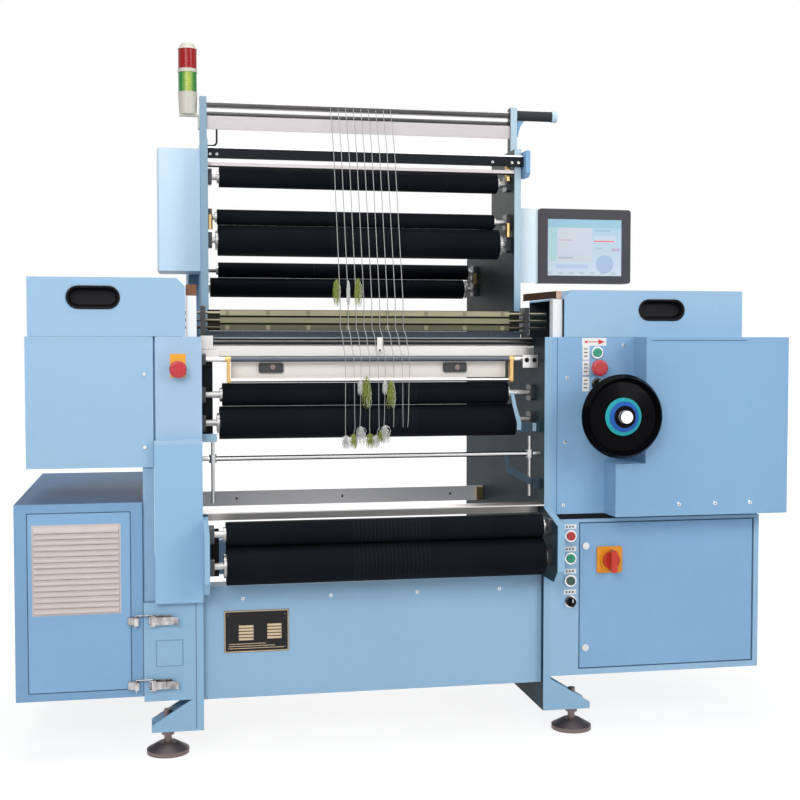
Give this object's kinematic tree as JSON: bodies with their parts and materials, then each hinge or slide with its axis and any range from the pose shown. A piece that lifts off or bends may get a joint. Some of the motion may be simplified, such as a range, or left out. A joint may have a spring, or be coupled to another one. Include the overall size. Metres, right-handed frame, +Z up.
{
  "type": "crochet knitting machine",
  "caption": "Floor-standing warp crochet knitting machine: side frames, yarn feed and draw-off rollers, guide bars, needle bed, handwheel, hoods, control cabinet and panel.",
  "frame": {"origin": "on the floor, below the middle of the bounding box", "axes": "+X to the operator's right along the machine's width, +Y away from the operator, +Z up"},
  "size_m": [1.872, 0.968, 1.74],
  "materials": {
    "blue_paint": "satin light blue paint",
    "frame_paint": "satin blue paint on thick plate",
    "beam_paint": "satin light blue paint",
    "steel": "ground bright steel",
    "chrome": "bright plating",
    "cast": "dark machined blocks",
    "rubber": "black roller cover",
    "black_plastic": "black moulding",
    "grey_plastic": "light grey moulding",
    "red_plastic": "red moulding",
    "green_plastic": "green moulding",
    "yellow_plastic": "yellow moulding",
    "lens": "coloured lamp lenses, one red and one green",
    "louvre_plastic": "warm grey moulding",
    "wheel_paint": "gloss black moulded wheel",
    "yarn": "spun yarn",
    "motor_paint": "grey enamel",
    "cable_black": "black lead",
    "bed_metal": "pale machined bed"
  },
  "bodies": {
    "machine": {"left_side_frame": "frame_paint", "right_side_frame": "frame_paint", "front_beam": "beam_paint", "rear_beam": "beam_paint", "bed_beam": "steel", "levelling_feet": "steel", "left_gear_case": "blue_paint", "left_column_covers": "blue_paint", "left_cabinet": "blue_paint", "left_cabinet_panel": "blue_paint", "louvre_grille": "louvre_plastic", "tower_cover": "blue_paint", "latch_plates": "chrome", "lamp_housing": "grey_plastic", "lamp_lenses": "lens", "lamp_cable": "cable_black", "right_gear_case": "blue_paint", "right_main_cover": "blue_paint", "right_cabinet": "blue_paint", "monitor_bracket": "blue_paint", "monitor": "black_plastic", "control_bezels": "chrome", "bearing_blocks": "cast", "upper_bars": "chrome", "cross_bars": "steel", "needle_bed": "bed_metal", "drive_motor": "motor_paint", "control_gear": "grey_plastic", "yarns": "yarn"},
    "door": {"right_door": "blue_paint", "switch_plate": "yellow_plastic"},
    "handwheel": {"handwheel": "wheel_paint"},
    "top_roller": {"top_roller": "rubber"},
    "front_feed_roller": {"front_feed_roller": "rubber"},
    "front_press_roller": {"front_press_roller": "steel"},
    "rear_feed_roller": {"rear_feed_roller": "rubber"},
    "rear_press_roller": {"rear_press_roller": "rubber"},
    "middle_roller": {"middle_roller": "rubber"},
    "middle_press_roller": {"middle_press_roller": "rubber"},
    "draw_roller": {"draw_roller": "rubber"},
    "draw_press_roller": {"draw_press_roller": "rubber"},
    "lower_guide_bar": {"lower_guide_bar": "steel"},
    "middle_guide_bar": {"middle_guide_bar": "steel"},
    "upper_guide_bar": {"upper_guide_bar": "steel"},
    "guide_carrier": {"guide_carrier": "cast"},
    "needle_bar": {"needle_bar": "bed_metal"},
    "rocker_bar": {"rocker_bar": "steel"},
    "left_hood": {"left_hood": "blue_paint"},
    "right_hood": {"right_hood": "blue_paint"},
    "switch_knob": {"switch_knob": "red_plastic"},
    "left_stop_button": {"left_stop_button": "red_plastic"},
    "start_button": {"start_button": "green_plastic"},
    "right_stop_button": {"right_stop_button": "red_plastic"},
    "strip_stop_button": {"strip_stop_button": "red_plastic"},
    "strip_start_button": {"strip_start_button": "green_plastic"},
    "strip_lamp_button": {"strip_lamp_button": "green_plastic"},
    "panel_selector": {"panel_selector": "black_plastic"},
    "strip_selector": {"strip_selector": "black_plastic"},
    "upper_latch_lever": {"upper_latch_lever": "chrome"},
    "lower_latch_lever": {"lower_latch_lever": "chrome"}
  },
  "joints": [
    {"name": "handwheel_turn", "type": "hinge", "parent": "machine", "child": "handwheel", "pos_m": [0.485, -0.452, 0.797], "axis": [0, 1, 0], "continuous": true},
    {"name": "top_roller_turn", "type": "hinge", "parent": "machine", "child": "top_roller", "pos_m": [-0.09, -0.004, 1.403], "axis": [1, 0, 0], "continuous": true},
    {"name": "front_feed_roller_turn", "type": "hinge", "parent": "machine", "child": "front_feed_roller", "pos_m": [-0.09, -0.004, 1.24], "axis": [1, 0, 0], "continuous": true},
    {"name": "front_press_roller_turn", "type": "hinge", "parent": "machine", "child": "front_press_roller", "pos_m": [-0.09, -0.004, 1.3003], "axis": [1, 0, 0], "continuous": true},
    {"name": "rear_feed_roller_turn", "type": "hinge", "parent": "machine", "child": "rear_feed_roller", "pos_m": [-0.09, 0.356, 1.135], "axis": [1, 0, 0], "continuous": true},
    {"name": "rear_press_roller_turn", "type": "hinge", "parent": "machine", "child": "rear_press_roller", "pos_m": [-0.09, 0.356, 1.1853], "axis": [1, 0, 0], "continuous": true},
    {"name": "middle_roller_turn", "type": "hinge", "parent": "machine", "child": "middle_roller", "pos_m": [-0.09, -0.234, 0.78], "axis": [1, 0, 0], "continuous": true},
    {"name": "middle_press_roller_turn", "type": "hinge", "parent": "machine", "child": "middle_press_roller", "pos_m": [-0.09, -0.234, 0.8483], "axis": [1, 0, 0], "continuous": true},
    {"name": "draw_roller_turn", "type": "hinge", "parent": "machine", "child": "draw_roller", "pos_m": [-0.09, -0.384, 0.455], "axis": [1, 0, 0], "continuous": true},
    {"name": "draw_press_roller_turn", "type": "hinge", "parent": "machine", "child": "draw_press_roller", "pos_m": [-0.09, -0.384, 0.5293], "axis": [1, 0, 0], "continuous": true},
    {"name": "guide_carrier_lift", "type": "slide", "parent": "machine", "child": "guide_carrier", "axis": [0, 0, 1], "range_m": [0, 0.012]},
    {"name": "lower_guide_bar_shog", "type": "slide", "parent": "guide_carrier", "child": "lower_guide_bar", "axis": [1, 0, 0], "range_m": [-0.02, 0.02]},
    {"name": "middle_guide_bar_shog", "type": "slide", "parent": "guide_carrier", "child": "middle_guide_bar", "axis": [1, 0, 0], "range_m": [-0.02, 0.02]},
    {"name": "upper_guide_bar_shog", "type": "slide", "parent": "guide_carrier", "child": "upper_guide_bar", "axis": [1, 0, 0], "range_m": [-0.02, 0.02]},
    {"name": "needle_bar_stroke", "type": "slide", "parent": "machine", "child": "needle_bar", "axis": [0, -1, 0], "range_m": [0, 0.01]},
    {"name": "rocker_swing", "type": "hinge", "parent": "machine", "child": "rocker_bar", "pos_m": [-0.09, -0.262, 0.934], "axis": [1, 0, 0], "range_deg": [-8, 8]},
    {"name": "left_hood_lift", "type": "hinge", "parent": "machine", "child": "left_hood", "pos_m": [-0.69, -0.026, 0.992], "axis": [-1, 0, 0], "range_deg": [0, 40]},
    {"name": "right_hood_lift", "type": "hinge", "parent": "machine", "child": "right_hood", "pos_m": [0.61, -0.026, 0.992], "axis": [-1, 0, 0], "range_deg": [0, 40]},
    {"name": "door_swing", "type": "hinge", "parent": "machine", "child": "door", "pos_m": [0.8815, -0.3305, 0.342], "axis": [0, 0, 1], "range_deg": [0, 105]},
    {"name": "switch_turn", "type": "hinge", "parent": "door", "child": "switch_knob", "pos_m": [0.498, -0.354, 0.432], "axis": [0, 1, 0], "range_deg": [0, 90]},
    {"name": "left_stop_button_press", "type": "slide", "parent": "machine", "child": "left_stop_button", "axis": [0, 1, 0], "range_m": [0, 0.006], "stiffness_N_per_m": 800, "springref_m": -0.002},
    {"name": "right_stop_button_press", "type": "slide", "parent": "machine", "child": "right_stop_button", "axis": [0, 1, 0], "range_m": [0, 0.006], "stiffness_N_per_m": 800, "springref_m": -0.002},
    {"name": "start_button_press", "type": "slide", "parent": "machine", "child": "start_button", "axis": [0, 1, 0], "range_m": [0, 0.004], "stiffness_N_per_m": 800, "springref_m": -0.002},
    {"name": "strip_stop_button_press", "type": "slide", "parent": "machine", "child": "strip_stop_button", "axis": [0, 1, 0], "range_m": [0, 0.004], "stiffness_N_per_m": 800, "springref_m": -0.002},
    {"name": "strip_start_button_press", "type": "slide", "parent": "machine", "child": "strip_start_button", "axis": [0, 1, 0], "range_m": [0, 0.004], "stiffness_N_per_m": 800, "springref_m": -0.002},
    {"name": "strip_lamp_button_press", "type": "slide", "parent": "machine", "child": "strip_lamp_button", "axis": [0, 1, 0], "range_m": [0, 0.004], "stiffness_N_per_m": 800, "springref_m": -0.002},
    {"name": "panel_selector_turn", "type": "hinge", "parent": "machine", "child": "panel_selector", "pos_m": [0.462, -0.344, 0.872], "axis": [0, 1, 0], "range_deg": [-45, 45]},
    {"name": "strip_selector_turn", "type": "hinge", "parent": "machine", "child": "strip_selector", "pos_m": [0.396, -0.344, 0.33], "axis": [0, 1, 0], "range_deg": [-45, 45]},
    {"name": "upper_latch_lever_flip", "type": "hinge", "parent": "machine", "child": "upper_latch_lever", "pos_m": [-0.626, -0.343, 0.324], "axis": [0, 0, -1], "range_deg": [0, 130]},
    {"name": "lower_latch_lever_flip", "type": "hinge", "parent": "machine", "child": "lower_latch_lever", "pos_m": [-0.626, -0.343, 0.172], "axis": [0, 0, -1], "range_deg": [0, 130]}
  ],
  "couplings": [
    {"joint": "front_press_roller_turn", "follows": "front_feed_roller_turn", "ratio": -2},
    {"joint": "rear_press_roller_turn", "follows": "rear_feed_roller_turn", "ratio": -1.2727},
    {"joint": "middle_press_roller_turn", "follows": "middle_roller_turn", "ratio": -1.4286},
    {"joint": "draw_press_roller_turn", "follows": "draw_roller_turn", "ratio": -1.5517}
  ]
}
